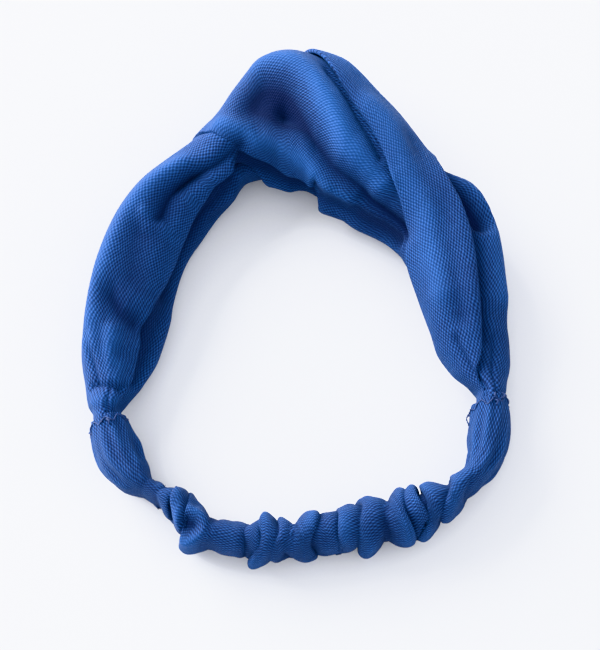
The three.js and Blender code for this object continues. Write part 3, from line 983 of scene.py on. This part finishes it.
def jersey(name, openness):
    """Bird's-eye knit. openness, from 0 to 1, is how far the cloth is stretched over the ends."""
    cloth = Shader(name)
    place, x, y = cloth.coordinates("cloth")
    drift = cloth.noise(place, 0.09, 2) * 1.5
    ripple = cloth.noise(place, 0.6, 1) * 0.5
    u = (x + drift + ripple) * (TURN / EYE_LENGTH)
    v = (y + drift - ripple) * (TURN / EYE_WIDTH)
    eye = (u.cosine() * v.cosine() * 0.5 + 0.5) ** (1.5 + openness)
    slant = ((u + v) * 0.5).sine() * 0.08
    loops = (u * 4 + v * 2).sine() * (v * 4).cosine() * 0.5 + 0.5
    fuzz = cloth.noise(place, 3.2, 4, 0.7)
    height = eye + slant + loops * 0.13 + fuzz * 0.16
    patches = cloth.noise(place, 0.045, 3, 0.6)
    batch = cloth.noise(place, 0.35, 2, 0.5)
    shade_relief = cloth.node("ShaderNodeAttribute", {"attribute_name": "shade_relief"}, {}, "Fac")
    tone = cloth.mix((eye * 1.25 + fuzz * 0.35 - 0.22).limited(), YARN_GAP, YARN_TOP)
    tone = cloth.mix((eye * (patches * 0.9 + batch * 0.6 - 0.42)).limited(), tone, YARN_RUBBED_AND_RIDGE_HIGHLIGHT)
    # Painted highlight on fold ridges and painted shade in fold hollows, both from the relief.
    tone = cloth.mix((shade_relief * 0.13).limited(), tone, YARN_RUBBED_AND_RIDGE_HIGHLIGHT)
    tone = cloth.mix((shade_relief * -0.2).limited(), tone, HOLLOW_PAINTED_SHADE)
    return cloth.finish(
        Base_Color=tone,
        Roughness=(0.92 - eye * 0.16 + fuzz * 0.06).limited(),
        Normal=cloth.bump(height, 0.9, 0.00032),
        Specular_IOR_Level=0.22,
        Sheen_Weight=0.08,
        Sheen_Roughness=0.42,
        Sheen_Tint=(0.16, 0.42, 1, 1),
    )


jersey_strips = jersey("birds_eye_jersey", 0.0)
jersey_casing = jersey("birds_eye_jersey_gathered", 0.35)
print("jersey eyes are", EYE_LENGTH, "by", EYE_WIDTH, "mm")

# %% [markdown]
# ## Thread
# The thread's two strands are real geometry, so its material only adds the fine fibres that run
# round each strand. The bar tacks come from the model as plain bars with no place stored on them,
# so their turns of thread are drawn as slanted bands from the position in space.

# %% Thread
THREAD_DARK = (0.009, 0.02, 0.075, 1)
THREAD_LIGHT = (0.024, 0.06, 0.2, 1)
FIBRE_PITCH = 0.35


def sewing_thread():
    thread = Shader("navy_sewing_thread")
    place, x, y = thread.coordinates("cloth")
    fibres = ((x + y * 1.6) * (TURN / FIBRE_PITCH)).sine() * 0.5 + 0.5
    lint = thread.noise(place, 2.5, 3, 0.6)
    return thread.finish(
        Base_Color=thread.mix((fibres * 0.7 + lint * 0.5 - 0.1).limited(), THREAD_DARK, THREAD_LIGHT),
        Roughness=(0.5 + lint * 0.25).limited(),
        Normal=thread.bump(fibres + lint * 0.4, 0.5, 0.00006),
        Sheen_Weight=0.05,
        Sheen_Tint=(0.16, 0.42, 1, 1),
    )


def bar_tack_thread():
    """The same thread, lying in tight bars, for the tacks that hold the elastic's ends."""
    thread = Shader("navy_bar_tack")
    place = thread.node("ShaderNodeTexCoord", {}, {}, "Object")
    lint = thread.noise(place, 2600, 3, 0.6)
    stripes = {"Vector": place, "Scale": 700}
    bands = thread.node("ShaderNodeTexWave", {"bands_direction": "DIAGONAL"}, stripes)
    return thread.finish(
        Base_Color=thread.mix((bands * 0.7 + lint * 0.4).limited(), THREAD_DARK, THREAD_LIGHT),
        Roughness=(0.5 + lint * 0.25).limited(),
        Normal=thread.bump(bands + lint * 0.4, 0.6, 0.00008),
    )


thread_material = sewing_thread()
tack_material = bar_tack_thread()
print("thread materials:", thread_material.name, "and", tack_material.name)

# %% [markdown]
# ## Woven elastic
# The elastic is woven: ribs of warp with rubber between them, and small bars of weft. Two crossed
# waves draw them, which is lighter than modelling each yarn of a piece that is hidden.

# %% Woven elastic
WEBBING_GAP = (0.5, 0.49, 0.46, 1)
WEBBING_YARN = (0.86, 0.85, 0.82, 1)
RIB_PITCH = 1.5
WEFT_PITCH = 0.9


def woven_elastic():
    webbing = Shader("white_woven_elastic")
    place, x, y = webbing.coordinates("cloth")
    ribs = (y * (TURN / RIB_PITCH)).cosine() * 0.5 + 0.5
    weft = (x * (TURN / WEFT_PITCH) + (y * (TURN / RIB_PITCH / 2)).sine() * 2).cosine() * 0.5 + 0.5
    lint = webbing.noise(place, 2, 3, 0.6)
    weave = ribs * 0.65 + weft * 0.35
    return webbing.finish(
        Base_Color=webbing.mix((weave * 1.1 + lint * 0.2 - 0.1).limited(), WEBBING_GAP, WEBBING_YARN),
        Roughness=(0.85 - weave * 0.2).limited(),
        Normal=webbing.bump(weave + lint * 0.15, 0.7, 0.0002),
    )


elastic_material = woven_elastic()
print("elastic ribs are", RIB_PITCH, "mm apart")

# %% [markdown]
# Each finish now goes on the pieces that have it. The strips and the casing are one jersey, but the
# casing's is stretched open a little more. The two tacks are pieces of the model, so only the
# material in their slots changes.

# %% Finishes on their pieces
threads = [*joints.values(), *seams.values(), seam_in_casing]
for piece in strips.values():
    piece.data.materials.append(jersey_strips)
casing.data.materials.append(jersey_casing)
elastic.data.materials.append(elastic_material)
for piece in threads:
    piece.data.materials.append(thread_material)
for node in ("elastic_tack_left", "elastic_tack_right"):
    tack = bpy.data.objects[node]
    for place in range(max(1, len(tack.material_slots))):
        if not tack.material_slots:
            tack.data.materials.append(None)
        tack.material_slots[place].material = tack_material
print(len(threads), "threads and", len(strips) + 2, "bands have their finish")

# %% [markdown]
# ## The camera
# The headband is looked at from above, a little from the back of the head, through a long lens
# from far away, so its near and far parts are seen at nearly the same size.

# %% Camera
scene = bpy.context.scene
LENS = 100
ELEVATION = math.radians(70)
REACH = 0.72
AIM = Vector((0.0016, -0.0075, 0.012))
camera_data = bpy.data.cameras.new("camera")
camera_data.lens = LENS
camera = bpy.data.objects.new("camera", camera_data)
scene.collection.objects.link(camera)
camera.location = AIM + REACH * Vector((0, -math.cos(ELEVATION), math.sin(ELEVATION)))
camera.rotation_euler = (AIM - camera.location).to_track_quat("-Z", "Y").to_euler()
scene.camera = camera
print("camera", REACH, "m away with a lens of", LENS, "mm")

# %% [markdown]
# ## The light
# The light is what makes cloth look soft. The window lamp is low, so it rakes over the folds and
# leaves their far sides dark, and the pale world keeps the shadows on the paper thin. The view
# transform rolls bright paper off gently, where the standard one would cut it to flat white.

# %% Light
WORLD_COLOUR = (0.93, 0.95, 1, 1)
WORLD_STRENGTH = 1.4
world = bpy.data.worlds.new("world")
scene.world = world
world.use_nodes = True
background = world.node_tree.nodes["Background"]
background.inputs["Color"].default_value = WORLD_COLOUR
background.inputs["Strength"].default_value = WORLD_STRENGTH


def soft_lamp(name, place, size, power):
    """A square lamp that looks at the headband. Places and sizes in metres, power in watts."""
    lamp = bpy.data.lights.new(name, "AREA")
    lamp.size = size
    lamp.energy = power
    light = bpy.data.objects.new(name, lamp)
    light.location = place
    light.rotation_euler = (AIM - light.location).to_track_quat("-Z", "Y").to_euler()
    scene.collection.objects.link(light)


soft_lamp("window", place=(-1.3, 0.9, 0.72), size=1.5, power=125)
soft_lamp("reflector", place=(0.9, 0.1, 0.9), size=1.2, power=1)
scene.view_settings.view_transform = "Khronos PBR Neutral"
print("lamps:", [lamp.name for lamp in bpy.data.lights])

# %% [markdown]
# ## The floor
# The headband lies on white paper, which is one large face. Its grain is too fine to model, so it
# is drawn by noise. It is marked as a backdrop, so object_bounds() leaves it out.

# %% Floor
PAPER_DARK = (0.84, 0.84, 0.85, 1)
PAPER_LIGHT = (0.88, 0.88, 0.89, 1)


def paper():
    sheet = Shader("white_paper")
    place = sheet.node("ShaderNodeTexCoord", {}, {}, "Object")
    grain = sheet.noise(place, 900, 3, 0.6)
    return sheet.finish(
        Base_Color=sheet.mix(grain, PAPER_DARK, PAPER_LIGHT),
        Roughness=0.9,
        Normal=sheet.bump(grain, 0.05, 0.0001),
        Specular_IOR_Level=0.1,
    )


FLOOR_SIDE = 3
floor_mesh = bpy.data.meshes.new("floor")
floor_corners = [(x * FLOOR_SIDE, y * FLOOR_SIDE, 0) for x, y in ((-1, -1), (1, -1), (1, 1), (-1, 1))]
floor_mesh.from_pydata(floor_corners, [], [(0, 1, 2, 3)])
floor_mesh.materials.append(paper())
floor = bpy.data.objects.new("floor", floor_mesh)
scene.collection.objects.link(floor)
floor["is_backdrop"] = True
print("floor", 2 * FLOOR_SIDE, "m wide")

# %% [markdown]
# ## What moves with what
# The front and its joints are one body. Each piece of the front rides on it whole.
# The back of the elastic slides away from the head when the headband is pulled on.

# %% The front
for strip, piece in strips.items():
    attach(piece, "front_band")
    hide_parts(f"twist_strip_{strip}")
    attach(seams[strip], "front_band")
    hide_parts(f"strip_{strip}_seam_thread")
for side, piece in joints.items():
    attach(piece, "front_band")
    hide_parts(f"joint_stitching_{side}")
print("on the front:", [piece.name for piece in (*strips.values(), *seams.values(), *joints.values())])

# %% [markdown]
# The casing, its elastic and its seam cross from the front to the back. An armature could stretch
# them. Here they stay where they are built: their placement is baked into their meshes, and the
# model's own pieces that they stand for are hidden.

# %% The back
stretching = (
    (casing, "elastic_casing", "blue_pique_casing"),
    (elastic, "elastic_band", "white_elastic_webbing"),
    (seam_in_casing, "casing_seam_thread", "navy_thread"),
)
for piece, node, finish_slot in stretching:
    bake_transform(piece)
    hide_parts(node)
print("stretched to the back:", [piece.name for piece, _, _ in stretching])

# %% The sizes of the model and of the scene
sizes = {"cad": [list(corner) for corner in cad_box], "visual": [list(corner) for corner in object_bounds()]}
print({name: in_mm(box) for name, box in sizes.items()})
